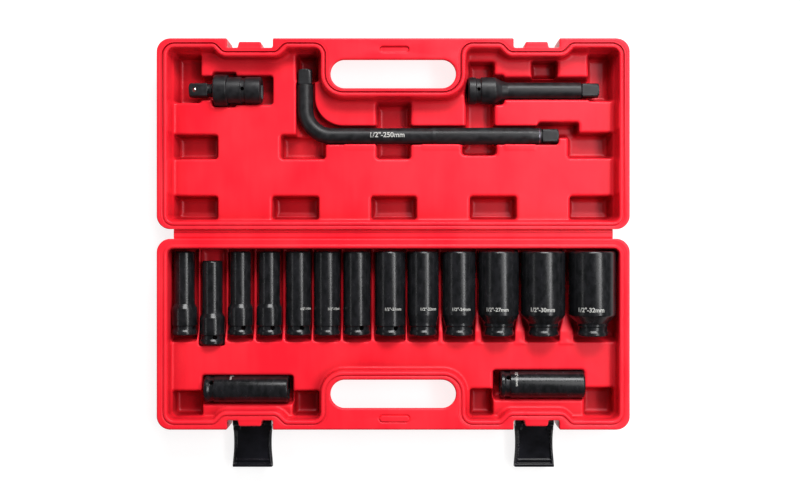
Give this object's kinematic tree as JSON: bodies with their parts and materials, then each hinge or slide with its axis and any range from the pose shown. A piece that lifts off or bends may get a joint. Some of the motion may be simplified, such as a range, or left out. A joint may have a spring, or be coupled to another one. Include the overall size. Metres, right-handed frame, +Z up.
{
  "type": "impact socket set in a carry case",
  "caption": "Open plastic carry case with black impact sockets in fitted pockets, an extension bar, a bent handle and a universal joint.",
  "frame": {"origin": "middle of the open set's outline, on the table it lies on", "axes": "+X along the hinge, +Y from the base half towards the lid half, +Z up out of the open case"},
  "size_m": [0.446, 0.4074, 0.0476],
  "materials": {
    "red_plastic": "satin blow-moulded plastic",
    "black_plastic": "satin moulded plastic",
    "black_steel": "black phosphate with a film of oil",
    "plain_steel": "plain ground steel",
    "bright_steel": "polished steel"
  },
  "bodies": {
    "case_base": {"base_shell": "red_plastic"},
    "hinge_strip": {"hinge_strip": "red_plastic"},
    "case_lid": {"lid_shell": "red_plastic"},
    "latch_left": {"latch_left": "black_plastic"},
    "latch_right": {"latch_right": "black_plastic"},
    "socket_10": {"socket_10": "black_steel"},
    "socket_11": {"socket_11": "black_steel"},
    "socket_12": {"socket_12": "black_steel"},
    "socket_13": {"socket_13": "black_steel"},
    "socket_14": {"socket_14": "black_steel"},
    "socket_15": {"socket_15": "black_steel"},
    "socket_16": {"socket_16": "black_steel"},
    "socket_17": {"socket_17": "black_steel"},
    "socket_18": {"socket_18": "black_steel"},
    "socket_21": {"socket_21": "black_steel"},
    "socket_22": {"socket_22": "black_steel"},
    "socket_24": {"socket_24": "black_steel"},
    "socket_27": {"socket_27": "black_steel"},
    "socket_30": {"socket_30": "black_steel"},
    "socket_32": {"socket_32": "black_steel"},
    "extension_bar": {"extension_bar": "black_steel"},
    "l_handle": {"l_handle": "black_steel"},
    "joint_housing": {"joint_housing": "black_steel", "joint_sleeve": "black_steel", "joint_long_pin": "plain_steel"},
    "joint_block": {"joint_block": "plain_steel"},
    "joint_drive": {"joint_drive": "black_steel", "joint_short_pins": "plain_steel", "detent_spring": "plain_steel"},
    "detent_ball": {"detent_ball": "bright_steel"}
  },
  "joints": [
    {"name": "strip_fold", "type": "hinge", "parent": "case_base", "child": "hinge_strip", "pos_m": [0, 0.01475, 0.02965], "axis": [-1, 0, 0], "range_deg": [-90, 0]},
    {"name": "lid_fold", "type": "hinge", "parent": "hinge_strip", "child": "case_lid", "pos_m": [0, 0.02375, 0.02965], "axis": [-1, 0, 0], "range_deg": [-90, 0]},
    {"name": "latch_left_swing", "type": "hinge", "parent": "case_base", "child": "latch_left", "pos_m": [-0.135, -0.16075, 0.016], "axis": [1, 0, 0], "range_deg": [-90, 0]},
    {"name": "latch_right_swing", "type": "hinge", "parent": "case_base", "child": "latch_right", "pos_m": [0.135, -0.16075, 0.016], "axis": [1, 0, 0], "range_deg": [-90, 0]},
    {"name": "lift_socket_10", "type": "slide", "parent": "case_base", "child": "socket_10", "axis": [0, 0, 1], "range_m": [0, 0.06]},
    {"name": "lift_socket_11", "type": "slide", "parent": "case_base", "child": "socket_11", "axis": [0, 0, 1], "range_m": [0, 0.06]},
    {"name": "lift_socket_12", "type": "slide", "parent": "case_base", "child": "socket_12", "axis": [0, 0, 1], "range_m": [0, 0.06]},
    {"name": "lift_socket_13", "type": "slide", "parent": "case_base", "child": "socket_13", "axis": [0, 0, 1], "range_m": [0, 0.06]},
    {"name": "lift_socket_14", "type": "slide", "parent": "case_base", "child": "socket_14", "axis": [0, 0, 1], "range_m": [0, 0.06]},
    {"name": "lift_socket_15", "type": "slide", "parent": "case_base", "child": "socket_15", "axis": [0, 0, 1], "range_m": [0, 0.06]},
    {"name": "lift_socket_16", "type": "slide", "parent": "case_base", "child": "socket_16", "axis": [0, 0, 1], "range_m": [0, 0.06]},
    {"name": "lift_socket_17", "type": "slide", "parent": "case_base", "child": "socket_17", "axis": [0, 0, 1], "range_m": [0, 0.06]},
    {"name": "lift_socket_18", "type": "slide", "parent": "case_base", "child": "socket_18", "axis": [0, 0, 1], "range_m": [0, 0.06]},
    {"name": "lift_socket_21", "type": "slide", "parent": "case_base", "child": "socket_21", "axis": [0, 0, 1], "range_m": [0, 0.06]},
    {"name": "lift_socket_22", "type": "slide", "parent": "case_base", "child": "socket_22", "axis": [0, 0, 1], "range_m": [0, 0.06]},
    {"name": "lift_socket_24", "type": "slide", "parent": "case_base", "child": "socket_24", "axis": [0, 0, 1], "range_m": [0, 0.06]},
    {"name": "lift_socket_27", "type": "slide", "parent": "case_base", "child": "socket_27", "axis": [0, 0, 1], "range_m": [0, 0.06]},
    {"name": "lift_socket_30", "type": "slide", "parent": "case_base", "child": "socket_30", "axis": [0, 0, 1], "range_m": [0, 0.06]},
    {"name": "lift_socket_32", "type": "slide", "parent": "case_base", "child": "socket_32", "axis": [0, 0, 1], "range_m": [0, 0.06]},
    {"name": "lift_extension", "type": "slide", "parent": "case_lid", "child": "extension_bar", "axis": [0, 0, 1], "range_m": [0, 0.06]},
    {"name": "lift_l_handle", "type": "slide", "parent": "case_lid", "child": "l_handle", "axis": [0, 0, 1], "range_m": [0, 0.06]},
    {"name": "lift_joint", "type": "slide", "parent": "case_lid", "child": "joint_housing", "axis": [0, 0, 1], "range_m": [0, 0.06]},
    {"name": "joint_swing", "type": "hinge", "parent": "joint_housing", "child": "joint_block", "pos_m": [-0.166, 0.15655, 0.0184], "axis": [0, 0, -1], "range_deg": [-5, 18]},
    {"name": "joint_tilt", "type": "hinge", "parent": "joint_block", "child": "joint_drive", "pos_m": [-0.166, 0.15655, 0.0184], "axis": [0, 1, 0], "range_deg": [-15, 24]},
    {"name": "ball_press", "type": "slide", "parent": "joint_drive", "child": "detent_ball", "axis": [0, 0, 1], "range_m": [-0.0011, 0], "stiffness_N_per_m": 1500, "springref_m": 0.0005, "deforming": ["detent_spring"]}
  ],
  "couplings": [
    {"joint": "lid_fold", "follows": "strip_fold", "ratio": 1}
  ]
}
